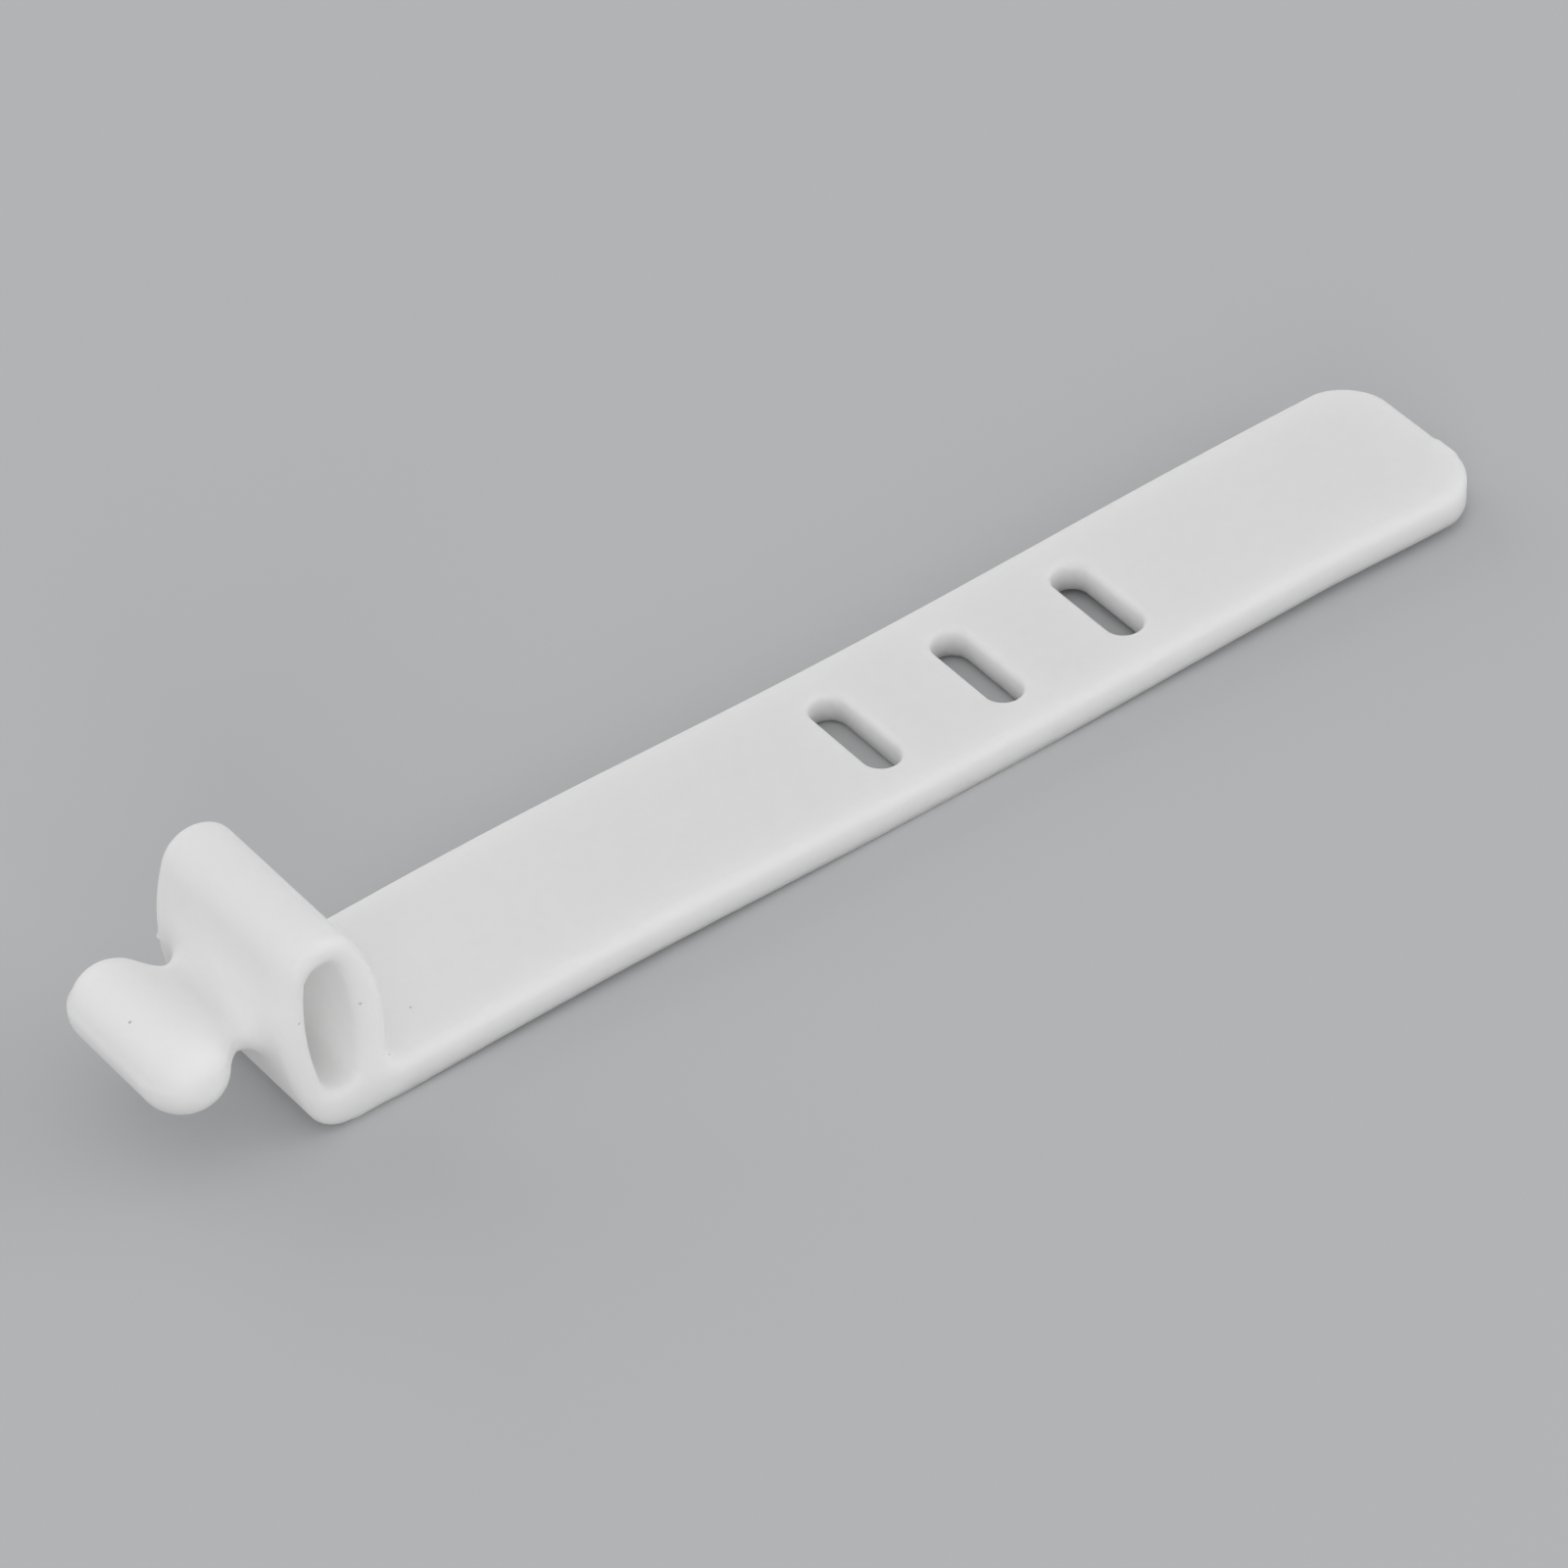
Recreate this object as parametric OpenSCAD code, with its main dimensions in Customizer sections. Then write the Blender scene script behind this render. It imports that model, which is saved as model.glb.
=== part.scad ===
// Cable keeper: a strap with three button slots, an oval eye at one end and a
// button bar on a short neck, moulded in one piece of silicone rubber.
// The strap lies on z = 0 and runs along +X. The origin is below the middle of
// the whole piece. Every round surface is a true arc, so all edges stay exact.

/* [Strap] */
// Width of the strap
strap_w = 13; // [10:0.5:18]
// Thickness of the strap
strap_t = 2.4; // [1.8:0.1:3]
// Length of the strap, from the middle of the eye to the tip
strap_l = 86.3; // [70:0.1:140]
// Radius of the two corners at the tip, seen from above
tip_r = 3.6; // [2:0.1:4.8]
// Rounding of the strap's long edges and of the tip
strap_edge = 0.4; // [0.2:0.05:0.7]

/* [Slots] */
// Number of button slots
slot_count = 3; // [1:1:4]
// Distance from the middle of the eye to the first slot
slot_first = 41.9; // [24:0.1:44]
// Distance from one slot to the next
slot_pitch = 9.3; // [7:0.1:11]
// How much wider a slot is than the neck is thick
slot_play_x = 0.4; // [0:0.05:0.8]
// How much longer a slot is than the neck is wide
slot_play_y = 0.15; // [0:0.05:0.8]
// Rounding where a slot opens through the top and the underside
slot_edge = 0.4; // [0.1:0.05:0.6]

/* [Eye] */
// Outside height of the eye
eye_h = 14.7; // [12:0.1:18]
// Outside thickness of the eye, along the strap
eye_t = 6.9; // [6:0.1:9]
// Width of the eye, across the strap
eye_w = 13.4; // [10:0.1:20]
// Wall at the sides of the eye's hole
eye_side_wall = 1.65; // [1.4:0.05:2.2]
// Wall above and below the eye's hole
eye_end_wall = 1.95; // [1.4:0.05:2.5]
// Rounding of the eye's outside rims
eye_edge = 0.7; // [0.3:0.05:0.8]
// Rounding where the hole opens at both ends
hole_edge = 0.6; // [0.1:0.05:0.7]
// Radius of the hollow between the strap's top and the eye
root_r = 2.2; // [1:0.1:4]

/* [Button bar] */
// Diameter of the bar
bar_d = 5.7; // [4.5:0.1:7]
// Length of the bar, across the strap
bar_l = 11.7; // [9:0.1:14]
// Rounding of the bar's ends
bar_end_r = 2.4; // [1:0.1:2.6]
// Distance from the middle of the eye to the middle of the bar
bar_reach = 8.25; // [7.5:0.05:10]
// Width of the neck, across the strap
neck_w = 7.5; // [5:0.1:8.5]
// Thickness of the neck at its thinnest
neck_t = 2.1; // [1.5:0.1:2.6]
// Rounding of the neck's four long edges
neck_edge = 0.5; // [0.2:0.05:0.7]

/* [Hidden] */
$fn = 96;

// the whole piece runs from the bar's back to the strap's tip
back_x = -bar_reach - bar_d / 2;
eye_x = -(back_x + strap_l) / 2;
mid_z = eye_h / 2;

// Each oval is four arcs. The centres of its ends lie 5 units above and below its
// middle, and those of its long sides 12 units to either side, so that the lines
// between them are 13 units long and every point where arcs meet comes out exact.
half_h = eye_h / 2;
half_t = eye_t / 2;
side_x = 12 * oval_unit(half_t, half_h);
side_r = side_x + half_t;

// the hole is the same kind of oval, inside the walls
hole_half_h = half_h - eye_end_wall;
hole_half_t = half_t - eye_side_wall;

// a flared edge stops at this part of its radius, just short of a full quarter turn,
// and cuts reach this far past the faces that they open through
flare_part = 0.9;
past = 0.02;

// the slots take the neck, with their play
slot_x = neck_t + slot_play_x;
slot_y = neck_w + slot_play_y;

// the two hollows of the neck are arcs that touch the bar and the eye's side
bar_r = bar_d / 2;
neck_h = neck_t / 2;
bar_at = [-bar_reach, 0];
back_side_at = [side_x, 0];
neck_r = neck_hollow_radius();
neck_hollow_at = touching_point(bar_at, bar_r + neck_r, back_side_at, side_r + neck_r);

// the hollow behind the eye touches the strap's top and the eye's side
root_z = strap_t + root_r - mid_z;
root_x = -side_x + sqrt(pow(side_r + root_r, 2) - root_z * root_z);
root_hollow_at = [root_x, root_z];
front_side_at = [-side_x, 0];

// the unit of an oval of half width a and half height b
function oval_unit(a, b) = (b - a) / 4;

// where circles of radius p round centre c and radius q round centre d cross, upper crossing
function touching_point(c, p, d, q) =
    let (gap = norm(d - c), along = (gap * gap + p * p - q * q) / (2 * gap))
    [c[0] + along, c[1] + sqrt(p * p - along * along)];

// the point at distance r from c, on the way to d
function toward(c, d, r) = c + r * (d - c) / norm(d - c);

// radius of the neck's hollows, so that they come within neck_t of each other:
// the hollow's centre lies neck_h + neck_r above the middle, and touches both arcs
function neck_hollow_radius() =
    let (
        span = bar_reach + side_x,
        k = bar_r * bar_r - side_r * side_r + span * span,
        m = (bar_r - side_r) / span,
        c = k / (2 * span),
        qa = m * m,
        qb = 2 * (c * m - (bar_r - neck_h)),
        qc = c * c - bar_r * bar_r + neck_h * neck_h
    )
    (-qb - sqrt(qb * qb - 4 * qa * qc)) / (2 * qa);

// a rectangle from x = x0 to x1 and of height h about the X axis, with its x1 end rounded by r
module end_rounded(x0, x1, h, r) {
    translate([x0, -h / 2]) square([x1 - r - x0, h]);
    translate([x0, -h / 2 + r]) square([x1 - x0, h - 2 * r]);
    for (s = [0, 1]) mirror([0, s]) translate([x1 - r, h / 2 - r]) intersection() {
        circle(r);
        square(r);
    }
}

// the same rectangle with its x1 end flared outward round an arc of radius r instead,
// for cutting: it reaches past both faces, and the arc meets them at a shallow angle
module end_flared(x0, x1, h, r) {
    arc_z = h / 2 - flare_part * r;
    difference() {
        translate([x0, -h / 2 - past]) square([x1 + r - x0, h + 2 * past]);
        translate([x1, -arc_z]) square([2 * r, 2 * arc_z]);
        for (s = [-1, 1]) translate([x1 + r, s * arc_z]) circle(r);
    }
}

// an oval prism lying along Y about the origin, a and b being its half width and half
// height. Its child is the profile that each of its four pieces turns, for the radius
// in $turn_r. The pieces meet on the planes that hold both of their centres.
module oval_prism(a, b, long) {
    unit = oval_unit(a, b);
    meet = [0, 5 * unit];
    out = meet + [12, 5];
    for (s = [0, 1]) {
        mirror([0, 0, s]) intersection() {
            $turn_r = b - 5 * unit;
            translate([0, 0, 5 * unit]) rotate([90, 0, 0]) rotate_extrude() children();
            wedge([meet, out, [-out[0], out[1]]], long);
        }
        mirror([s, 0, 0]) intersection() {
            $turn_r = a + 12 * unit;
            translate([-12 * unit, 0, 0]) rotate([90, 0, 0]) rotate_extrude() children();
            wedge([meet, out, [out[0], -out[1]], -meet], long);
        }
    }
}

// a straight prism along Y, from an outline in X and Z
module wedge(points, long) {
    rotate([90, 0, 0]) linear_extrude(long, center = true) polygon(points);
}

// the strap: a flat slab with rounded edges, straight from the eye to the tip's
// corners, then a quarter turn at each corner and a straight end between them
module strap() {
    straight = strap_l - tip_r;
    flat_y = strap_w / 2 - tip_r;
    translate([0, 0, strap_t / 2]) for (s = [0, 1]) mirror([0, s, 0]) {
        rotate([90, 0, 90]) linear_extrude(straight)
            end_rounded(0, strap_w / 2, strap_t, strap_edge);
        translate([straight, flat_y, 0])
            rotate_extrude(angle = 90) end_rounded(0, tip_r, strap_t, strap_edge);
        translate([straight, flat_y, 0]) rotate([90, 0, 0])
            linear_extrude(flat_y) end_rounded(0, tip_r, strap_t, strap_edge);
    }
}

// what one slot takes away: two half turns and a straight middle, flared at both faces
module slot_cut() {
    end_r = slot_x / 2;
    run = slot_y - slot_x;
    translate([0, 0, strap_t / 2]) for (s = [0, 1]) mirror([0, s, 0]) {
        translate([0, run / 2, 0]) rotate_extrude(angle = 180) end_flared(0, end_r, strap_t, slot_edge);
        mirror([s, 0, 0]) translate([0, run / 2, 0]) rotate([90, 0, 0])
            linear_extrude(run) end_flared(0, end_r, strap_t, slot_edge);
    }
}

// the outside of the eye, as if it had no hole
module eye_outside() {
    oval_prism(half_t, half_h, 2 * eye_w) end_rounded(0, $turn_r, eye_w, eye_edge);
}

module eye_hole() {
    oval_prism(hole_half_t, hole_half_h, 2 * eye_w) end_flared(0, $turn_r, eye_w, hole_edge);
}

// the button bar, turned about its own length, with rounded ends
module bar() {
    translate([-bar_reach, 0, 0]) rotate([90, 0, 0]) rotate_extrude()
        end_rounded(0, bar_r, bar_l, bar_end_r);
}

// what lies round a hollow: everything further than r from a line along Y, with the two
// edges where the hollow opens at its sides rounded, and kept to an outline
module round_hollow(centre, r, long, edge, outline) {
    depth = bar_reach + eye_t;
    intersection() {
        translate([centre[0], 0, centre[1]]) rotate([90, 0, 0]) rotate_extrude()
            translate([2 * r + depth, 0]) mirror([1, 0]) end_rounded(r, r + depth, long, edge);
        wedge(outline, 2 * long);
    }
}

// the neck between the bar and the eye, hollowed above and below
module neck() {
    for (s = [0, 1]) mirror([0, 0, s]) round_hollow(neck_hollow_at, neck_r, neck_w, neck_edge, [
        bar_at,
        toward(bar_at, neck_hollow_at, bar_r),
        toward(back_side_at, neck_hollow_at, side_r),
        [0, 0]
    ]);
}

// the fillet that carries the strap's top up into the eye's side
module root() {
    top = toward(front_side_at, root_hollow_at, side_r);
    round_hollow(root_hollow_at, root_r, strap_w, strap_edge, [
        [root_x, strap_t - mid_z],
        top,
        [0, top[1]],
        [0, strap_t / 2 - mid_z],
        [root_x, strap_t / 2 - mid_z]
    ]);
}

module keeper() {
    color("whitesmoke") translate([eye_x, 0, 0]) difference() {
        union() {
            strap();
            translate([0, 0, mid_z]) {
                eye_outside();
                root();
                neck();
                bar();
            }
        }
        translate([0, 0, mid_z]) eye_hole();
        for (i = [0 : slot_count - 1]) translate([slot_first + i * slot_pitch, 0, 0]) slot_cut();
    }
}

keeper();
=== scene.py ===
import bpy
import numpy as np
from mathutils import Matrix, Vector


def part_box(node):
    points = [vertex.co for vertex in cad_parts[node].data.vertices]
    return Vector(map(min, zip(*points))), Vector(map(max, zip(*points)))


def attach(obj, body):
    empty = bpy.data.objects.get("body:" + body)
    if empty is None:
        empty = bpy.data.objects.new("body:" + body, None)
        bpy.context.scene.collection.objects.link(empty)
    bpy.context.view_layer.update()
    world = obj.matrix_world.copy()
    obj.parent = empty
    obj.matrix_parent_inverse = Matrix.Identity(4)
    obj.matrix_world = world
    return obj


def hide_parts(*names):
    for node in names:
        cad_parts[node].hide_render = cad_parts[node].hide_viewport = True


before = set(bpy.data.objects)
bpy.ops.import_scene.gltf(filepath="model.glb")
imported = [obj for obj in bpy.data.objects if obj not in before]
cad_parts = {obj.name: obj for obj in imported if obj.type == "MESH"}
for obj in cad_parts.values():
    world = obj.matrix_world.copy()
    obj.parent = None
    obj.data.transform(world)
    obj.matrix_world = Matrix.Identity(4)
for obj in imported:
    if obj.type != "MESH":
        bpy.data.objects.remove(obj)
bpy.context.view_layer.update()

# ---------------------------------------------------------------- the camera
# A long lens well above the strap, on the side of the button bar. It looks down the
# strap from the eye's end, so the eye stands in front and the tip runs away behind.

camera_place = (-0.218774, -0.304057, 0.337633)
towards_camera = Vector((-0.43282, -0.60434, 0.66891))
frame_up = Vector((0.42421, 0.51818, 0.74265))
frame_right = frame_up.cross(towards_camera)
camera_turn = Matrix((frame_right, frame_up, towards_camera)).transposed()

lens = bpy.data.cameras.new("long_lens")
lens.sensor_width = 36
lens.lens = 194.2
lens.clip_end = 10
camera = bpy.data.objects.new("camera", lens)
camera.matrix_world = Matrix.Translation(camera_place) @ camera_turn.to_4x4()
bpy.context.collection.objects.link(camera)
bpy.context.scene.camera = camera

# ---------------------------------------------------------------- the keeper
# The one piece of the tie, undyed white silicone rubber pressed in a two-part mould.
# A flat strap with three button slots grows out of an oval eye, and a short web on
# the eye's back carries a cross bar, the button. The mould leaves the rubber matte.

# Everything on the keeper is drawn in millimetres, as a distance that is below zero
# inside the rubber. x is counted from the middle of the eye and z from the table.
low, high = [np.array(corner) * 1000 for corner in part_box("keeper")]
back_to_eye, eye_raised, room_for_gate = 11.1, 0.05, 0.1
eye_x = low[0] + back_to_eye
eye_middle = high[2] / 2 + eye_raised
strap_length = high[0] - eye_x - room_for_gate
strap_thick = 2.38
parting = 8.0


def melt(a, b, fillet):
    """two forms made one, with a fillet in the corner between them"""
    near_a = np.maximum(fillet - a, 0)
    near_b = np.maximum(fillet - b, 0)
    return np.maximum(fillet, np.minimum(a, b)) - np.hypot(near_a, near_b)


def trim(a, b, rounding):
    """what both forms share, with the edge between them rounded off"""
    near_a = np.maximum(rounding + a, 0)
    near_b = np.maximum(rounding + b, 0)
    return np.minimum(-rounding, np.maximum(a, b)) + np.hypot(near_a, near_b)


def ease(value, start, end):
    """0 before start, 1 after end and a soft step between them"""
    t = np.clip((value - start) / (end - start), 0, 1)
    return t * t * (3 - 2 * t)


def oval(x, z, half_width, half_height, end_radius):
    """an upright oval of four arcs, two short ones at its ends and two long ones"""
    end_at = half_height - end_radius
    slack = half_width - end_radius
    side_at = (end_at ** 2 - slack ** 2) / (2 * slack)
    x, z = np.abs(x), np.abs(z)
    end = np.hypot(x, z - end_at) - end_radius
    side = np.hypot(x + side_at, z) - (half_width + side_at)
    return np.where(side_at * (z - end_at) > end_at * x, end, side)


def strap_plan(x, y, half_width):
    """the strap from above: straight sides, and a blunt end with two soft corners"""
    corner, fullness = 3.3, 1.75
    across = np.abs(y) - (half_width - corner)
    along = x - (strap_length - corner)
    out_a, out_b = np.maximum(across, 0), np.maximum(along, 0)
    round_part = (out_a ** fullness + out_b ** fullness) ** (1 / fullness)
    return round_part + np.minimum(np.maximum(across, along), 0) - corner


def strap_lift(x):
    """how far the soft strap has set off the table: two waves, half a millimetre high"""
    first_lift, second_lift = 0.43, 0.57
    # it comes down to the table between the waves at this share of its length, and the
    # second wave crests this much further on
    touch, to_crest = 0.52, 0.375
    # below 1, this moves the first wave's crest towards the eye
    skew = 0.85
    share = np.clip(x / strap_length, 0, 1)
    first = np.minimum(share / touch, 1)
    second = np.maximum(share - touch, 0) / to_crest
    first_wave = first_lift * np.sin(np.pi * first ** skew) ** 2
    second_wave = second_lift * np.sin(np.pi / 2 * second) ** 2
    return first_wave + second_wave


def slot(x, y):
    """one button slot from above, a short straight run with round ends"""
    half_run, end_radius = 2.56, 1.24
    return np.hypot(x, np.maximum(np.abs(y) - half_run, 0)) - end_radius


def button_bar(x, y, z):
    """the cross bar, a fat pin with domed ends, whose two mould halves met a little askew"""
    reach, off_centre, drop = 8.34, 0.17, 0.07
    radius, half_length, end_rounding = 2.8, 5.8, 2.4
    # the upper half is moved towards the eye and aside, and is less flat than the lower
    moved_in, moved_aside = 0.15, 0.05
    upper = ease(z - parting, -0.05, 0.05)
    height_to_width = 0.945 + 0.035 * upper
    x = x + reach - moved_in * upper
    y = y - off_centre + moved_aside * upper
    barrel = np.hypot(x, (z - eye_middle + drop) / height_to_width) - radius
    return trim(barrel, np.abs(y) - half_length, end_rounding)


def neck(x, y, z):
    """the thin wide web that joins the bar to the eye, round at its two edges"""
    half_thick, half_width, half_length = 1.02, 3.8, 4.2
    off_centre = 0.12
    thickness = np.abs(z - eye_middle) - half_thick
    width = np.abs(y - off_centre) - half_width
    length = np.abs(x + half_length) - half_length
    return np.maximum(trim(thickness, width, rounding=0.95), length)


def gate_pad(x, y, z):
    """the low pad on the strap's end where the rubber was let in, part of an oval disc"""
    radius, sunk, width_to_height = 0.72, 0.55, 0.6
    half_width, off_centre = 1.0, -2.6
    z = (z - strap_thick / 2) * width_to_height
    disc = np.hypot(x - strap_length + sunk, z) - radius
    return trim(disc, np.abs(y - off_centre) - half_width, rounding=0.4)


def flash_crumb(x, y, z):
    """a crumb of flash on the eye's far rim, where the mould parts"""
    crumb_x, crumb_y, radius = -3.4, 6.05, 0.25
    return np.sqrt((x - crumb_x) ** 2 + (y - crumb_y) ** 2 + (z - parting) ** 2) - radius


def moulding(x, y, z):
    """the whole keeper as it lies, with its strap waving and its eye leaning back"""
    z = z - strap_lift(x)
    # the eye leans over four degrees towards its bar, and the strap beyond it doesn't
    slant = 0.078
    lean = slant * (z - eye_middle) * (1 - ease(x, 2, 9))
    x = x + lean

    # the strap's top curves up into the eye, and their undersides are all but flush
    eye = oval(x, z - eye_middle, half_width=3.45, half_height=7.3, end_radius=2.49)
    slab = np.maximum(np.abs(z - strap_thick / 2) - strap_thick / 2, -x)
    lower_fillet, upper_fillet = 0.02, 2.12
    fillet = lower_fillet + (upper_fillet - lower_fillet) * ease(z, 0.7, 2.2)
    side_view = melt(slab, eye, fillet)

    # the keeper is a hair wider at the eye, and the strap swells aside near its tip
    strap_half_width, eye_extra, tip_extra = 6.54, 0.13, 0.12
    off_centre, tip_aside = 0.05, 0.1
    eye_share, tip_share = 1 - ease(eye, 0.2, 2.6), ease(x, 72, 82)
    half_width = strap_half_width + eye_extra * eye_share + tip_extra * tip_share
    plan = strap_plan(x, y - off_centre + tip_aside * tip_share, half_width)

    # the strap's upper edges are rounder than its lower ones, the eye's rims rounder still
    lower_edge, upper_edge, eye_rim = 0.25, 0.67, 0.72
    edge = lower_edge + (upper_edge - lower_edge) * ease(z, 0.7, 1.9)
    rubber = trim(side_view, plan, edge + (eye_rim - edge) * eye_share)

    # the neck meets the bar in a wider hollow above than below
    lower_hollow, upper_hollow = 0.8, 1.2
    hollow = lower_hollow + (upper_hollow - lower_hollow) * ease(z, 6.6, 7.4)
    button = melt(neck(x, y, z), button_bar(x, y, z), hollow)
    rubber = melt(rubber, button, fillet=1.4)

    # the eye's hole leans nine tenths as much as the eye, and sits high in it
    hole_back, hole_up = 0.13, 0.56
    hole_x = x - 0.1 * lean + hole_back
    hole_z = z - eye_middle - hole_up
    hole = oval(hole_x, hole_z, half_width=1.6, half_height=4.95, end_radius=1.22)
    rubber = trim(rubber, -hole, rounding=0.62)

    first_slot, slot_pitch = 41.94, 9.28
    for i in range(3):
        rubber = trim(rubber, -slot(x - first_slot - i * slot_pitch, y), rounding=0.45)

    rubber = melt(rubber, gate_pad(x, y, z), fillet=0.3)
    return melt(rubber, flash_crumb(x, y, z), fillet=0.15)


# The form is sampled on a lattice, finer where it curves, and a skin of even
# four-sided faces is drawn through it and pulled exactly onto the surface.


def stations(*runs):
    """lattice positions: each run is (from, to, step)"""
    lines = [np.linspace(a, b, round((b - a) / step), endpoint=False) for a, b, step in runs]
    return np.append(np.concatenate(lines), runs[-1][1])


lattice = [
    stations((-11.6, 7, 0.2), (7, 38, 0.42), (38, 64, 0.2), (64, 80, 0.42), (80, 86.9, 0.2)),
    stations((-7.13, 7.13, 0.2)),
    stations((-0.35, 3.4, 0.19), (3.4, 15.2, 0.22)),
]
distance = moulding(*np.meshgrid(*lattice, indexing="ij"))

# each cell that the surface passes through gets one corner of the skin, in the middle
# of where the cell's edges are crossed, and each crossed edge gets one face
cells = [n - 1 for n in distance.shape]
crossings = np.zeros(cells + [3])
crossing_count = np.zeros(cells)
edges_crossed = []
for axis in range(3):
    u, v = (axis + 1) % 3, (axis + 2) % 3
    near = np.moveaxis(distance, axis, 0)[:-1]
    far = np.moveaxis(distance, axis, 0)[1:]
    at = np.argwhere(np.moveaxis((near < 0) != (far < 0), 0, axis))
    start = distance[tuple(at.T)]
    end = distance[tuple((at + np.eye(3, dtype=int)[axis]).T)]
    points = np.stack([lattice[k][at[:, k]] for k in range(3)], 1)
    step = lattice[axis][at[:, axis] + 1] - lattice[axis][at[:, axis]]
    points[:, axis] += step * start / (start - end)
    corners = []
    for back_u, back_v in ((1, 1), (0, 1), (0, 0), (1, 0)):
        cell = at.copy()
        cell[:, u] -= back_u
        cell[:, v] -= back_v
        np.add.at(crossings, tuple(cell.T), points)
        np.add.at(crossing_count, tuple(cell.T), 1)
        corners.append(cell)
    corners = np.stack(corners, 1)
    corners[start > 0] = corners[start > 0][:, ::-1]
    edges_crossed.append(corners)

used = crossing_count > 0
number = np.full(cells, -1)
number[used] = np.arange(used.sum())
skin = crossings[used] / crossing_count[used][:, None]
faces = number[tuple(np.moveaxis(np.concatenate(edges_crossed), 2, 0))]


def slope(points):
    """which way the form's distance grows at each point"""
    reach = 0.02
    sides = []
    for axis in range(3):
        offset = np.eye(3)[axis] * reach
        sides.append(moulding(*(points + offset).T) - moulding(*(points - offset).T))
    return np.stack(sides, 1) / (2 * reach)


# the skin is evened out four times, and after each time and once more at the end it is
# pulled back onto the surface, in two steps
evening_turns = 4
firsts, seconds = np.concatenate([faces[:, [i, (i + 1) % 4]] for i in range(4)]).T
neighbours = np.bincount(firsts, minlength=len(skin))
for turn in range(evening_turns + 1):
    if turn < evening_turns:
        sums = [np.bincount(firsts, skin[seconds, k], len(skin)) for k in range(3)]
        skin = 0.5 * skin + 0.5 * np.stack(sums, 1) / neighbours[:, None]
    for _ in range(2):
        way = slope(skin)
        skin -= way * (moulding(*skin.T) / (way ** 2).sum(1))[:, None]

keeper_mesh = bpy.data.meshes.new("keeper_moulding")
keeper_mesh.from_pydata(((skin + [eye_x, 0, 0]) / 1000).tolist(), [], faces.tolist())
keeper_mesh.shade_smooth()
keeper = bpy.data.objects.new("keeper_moulding", keeper_mesh)
bpy.context.collection.objects.link(keeper)

# The rubber is cloudy white and light goes a few millimetres into it. It clouds
# faintly where the mix varies, its skin is a fine blasted grain over slow flow
# waves, handling has polished it in patches, and a few dark flecks are caught in it.

silicone = bpy.data.materials.new("white_silicone")
silicone.use_nodes = True
nodes, links = silicone.node_tree.nodes, silicone.node_tree.links
rubber_skin = nodes["Principled BSDF"]
rubber_skin.inputs["Subsurface Weight"].default_value = 1
rubber_skin.inputs["Subsurface Radius"].default_value = (1, 1, 1)
light_depth = 0.0035
rubber_skin.inputs["Subsurface Scale"].default_value = light_depth

place = nodes.new("ShaderNodeTexCoord")
in_mm = nodes.new("ShaderNodeMapping")
in_mm.inputs["Location"].default_value = (-eye_x, 0, 0)
in_mm.inputs["Scale"].default_value = (1000, 1000, 1000)
links.new(place.outputs["Object"], in_mm.inputs["Vector"])


def noise(per_mm, detail, roughness=0.5):
    """a cloud of values about 0.5, with so many swells to the millimetre"""
    cloud = nodes.new("ShaderNodeTexNoise")
    cloud.inputs["Scale"].default_value = per_mm
    cloud.inputs["Detail"].default_value = detail
    cloud.inputs["Roughness"].default_value = roughness
    links.new(in_mm.outputs["Vector"], cloud.inputs["Vector"])
    return cloud.outputs["Fac"]


def spread(value, from_range, to_range):
    """a value stretched from one range to another, and held at its ends"""
    stretch = nodes.new("ShaderNodeMapRange")
    sockets = ("From Min", "From Max", "To Min", "To Max")
    for socket, limit in zip(sockets, from_range + to_range):
        stretch.inputs[socket].default_value = limit
    links.new(value, stretch.inputs["Value"])
    return stretch.outputs["Result"]


def combine(operation, first, second):
    """two values made one: their sum, product or larger one"""
    both = nodes.new("ShaderNodeMath")
    both.operation = operation
    links.new(first, both.inputs[0])
    if isinstance(second, float):
        both.inputs[1].default_value = second
    else:
        links.new(second, both.inputs[1])
    return both.outputs["Value"]


def blend(base, over, share):
    """a colour with a share of another laid over it"""
    mix = nodes.new("ShaderNodeMix")
    mix.data_type = "RGBA"
    for socket, colour in (("A", base), ("B", over)):
        if isinstance(colour, tuple):
            mix.inputs[socket].default_value = (*colour, 1)
        else:
            links.new(colour, mix.inputs[socket])
    links.new(share, mix.inputs["Factor"])
    return mix.outputs["Result"]


# flecks, each a soft dot of its own radius at its own place on the skin, in millimetres
flecks = None
for spot, radius in (
    ((-9.74, -0.39, 9.72), 0.14),
    ((1.74, -6.58, 8.84), 0.16),
    ((-2.45, -6.62, 9.8), 0.11),
    ((3.9, -5.7, 2.88), 0.12),
    ((6.12, -6.22, 2.48), 0.1),
    ((7.3, -2.98, 2.55), 0.1),
):
    gap = nodes.new("ShaderNodeVectorMath")
    gap.operation = "DISTANCE"
    gap.inputs[1].default_value = spot
    links.new(in_mm.outputs["Vector"], gap.inputs[0])
    dot = spread(gap.outputs["Value"], (0.3 * radius, radius), (1, 0))
    flecks = dot if flecks is None else combine("MAXIMUM", flecks, dot)

cloudy_white, clear_white = (0.955, 0.955, 0.945), (0.985, 0.985, 0.985)
fleck_brown, fleck_strength = (0.2, 0.19, 0.18), 0.6
clouding = spread(noise(per_mm=0.35, detail=4, roughness=0.6), (0.35, 0.65), (0, 1))
white = blend(cloudy_white, clear_white, clouding)
tint = blend(white, fleck_brown, combine("MULTIPLY", flecks, fleck_strength))
links.new(tint, rubber_skin.inputs["Base Color"])

handling = spread(noise(per_mm=0.18, detail=3), (0.35, 0.65), (0.5, 0.62))
links.new(handling, rubber_skin.inputs["Roughness"])

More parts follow.
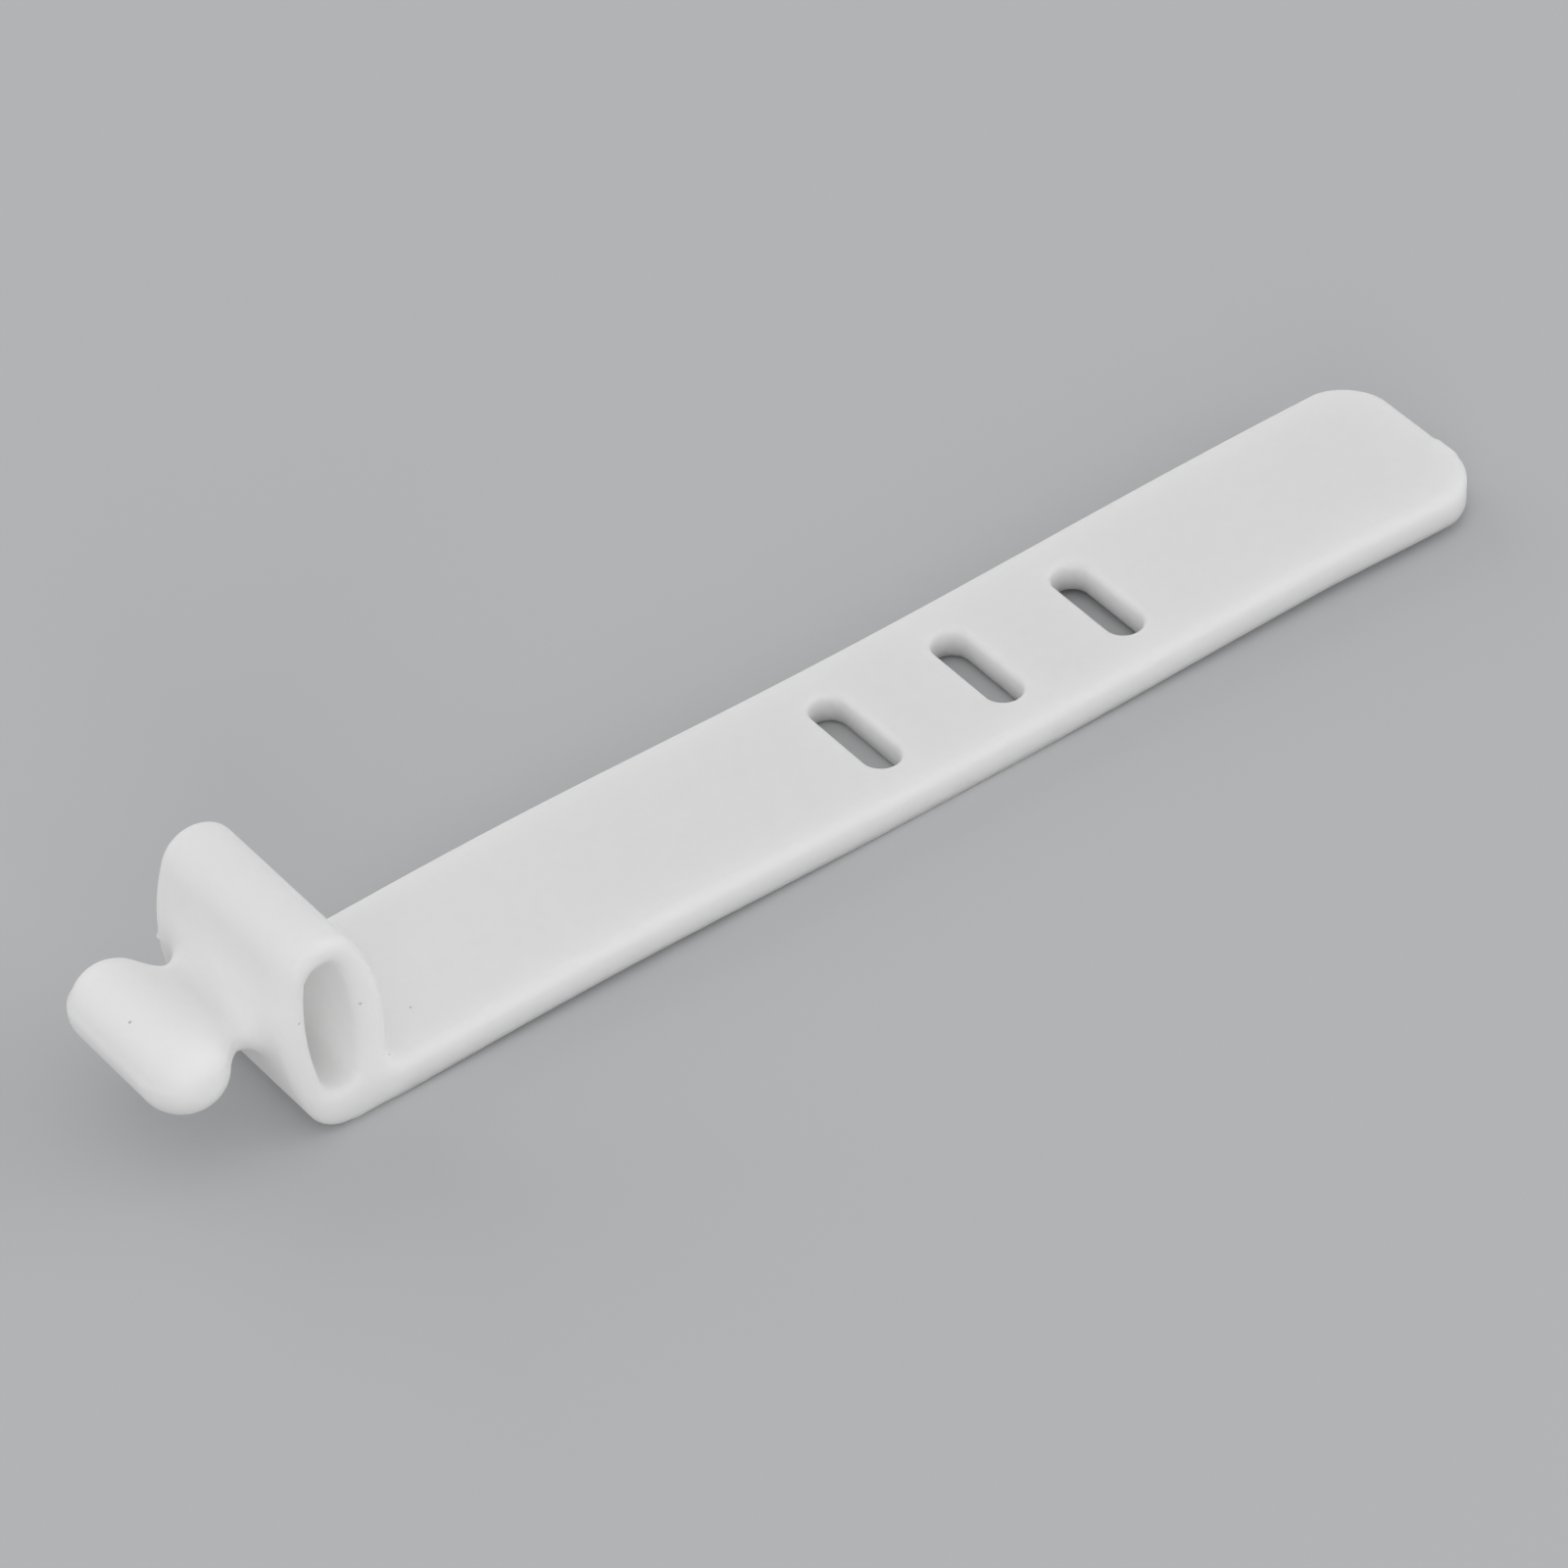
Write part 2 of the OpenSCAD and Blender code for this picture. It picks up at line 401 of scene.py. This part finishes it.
# the skin's relief, in millimetres
grain = spread(noise(per_mm=7.0, detail=3, roughness=0.6), (0.3, 0.7), (0, 0.004))
waves = spread(noise(per_mm=0.3, detail=1), (0.3, 0.7), (0, 0.02))
pit_depth = 0.02
pits = combine("MULTIPLY", flecks, -pit_depth)
relief = combine("ADD", combine("ADD", grain, waves), pits)
skin_relief = nodes.new("ShaderNodeBump")
skin_relief.inputs["Distance"].default_value = 0.001
links.new(relief, skin_relief.inputs["Height"])
links.new(skin_relief.outputs["Normal"], rubber_skin.inputs["Normal"])
keeper_mesh.materials.append(silicone)

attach(keeper, "root")
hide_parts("keeper")

# ---------------------------------------------------------------- table and light
# A plain pale table under soft light: a white room all round, and three soft lamps
# near the table's level, beside the camera, to its right and behind the keeper, so
# that upright faces are nearly as light as level ones from every side.

half_side = 3
table_corners = [
    (across * half_side, along * half_side, 0)
    for across, along in ((-1, -1), (1, -1), (1, 1), (-1, 1))
]
table_mesh = bpy.data.meshes.new("table")
table_mesh.from_pydata(table_corners, [], [(0, 1, 2, 3)])
table = bpy.data.objects.new("table", table_mesh)
bpy.context.collection.objects.link(table)
paint = bpy.data.materials.new("table_paint")
paint.use_nodes = True
nodes, links = paint.node_tree.nodes, paint.node_tree.links
top_coat = nodes["Principled BSDF"]
top_coat.inputs["Roughness"].default_value = 0.9

# the table looks pale, but throws less light up at the keeper than so pale a one would
pale_grey, thrown_grey = (0.56, 0.57, 0.58), (0.35, 0.35, 0.35)
ray = nodes.new("ShaderNodeLightPath")
seen = ray.outputs["Is Camera Ray"]
for kind in ("Is Glossy Ray", "Is Transmission Ray"):
    seen = combine("MAXIMUM", seen, ray.outputs[kind])
links.new(blend(thrown_grey, pale_grey, seen), top_coat.inputs["Base Color"])
table_mesh.materials.append(paint)


def softbox(name, place, size, power):
    """a round lamp of that many metres and watts, turned to the object"""
    lamp = bpy.data.lights.new(name, "AREA")
    lamp.shape = "DISK"
    lamp.size = size
    lamp.energy = power
    box = bpy.data.objects.new(name, lamp)
    box.location = place
    box.rotation_euler = (-Vector(place)).to_track_quat("-Z", "Y").to_euler()
    bpy.context.collection.objects.link(box)


softbox("beside_camera", (-0.55, -0.8, 0.2), size=0.6, power=2.4)
softbox("right", (0.9, -0.6, 0.2), size=1.4, power=4.5)
softbox("behind", (-0.3, 1.0, 0.2), size=1.4, power=4.5)

world = bpy.data.worlds.new("white_room")
world.use_nodes = True
room_light = world.node_tree.nodes["Background"]
room_light.inputs["Color"].default_value = (1, 1, 1, 1)
room_light.inputs["Strength"].default_value = 0.6
bpy.context.scene.world = world
bpy.context.scene.view_settings.view_transform = "Standard"
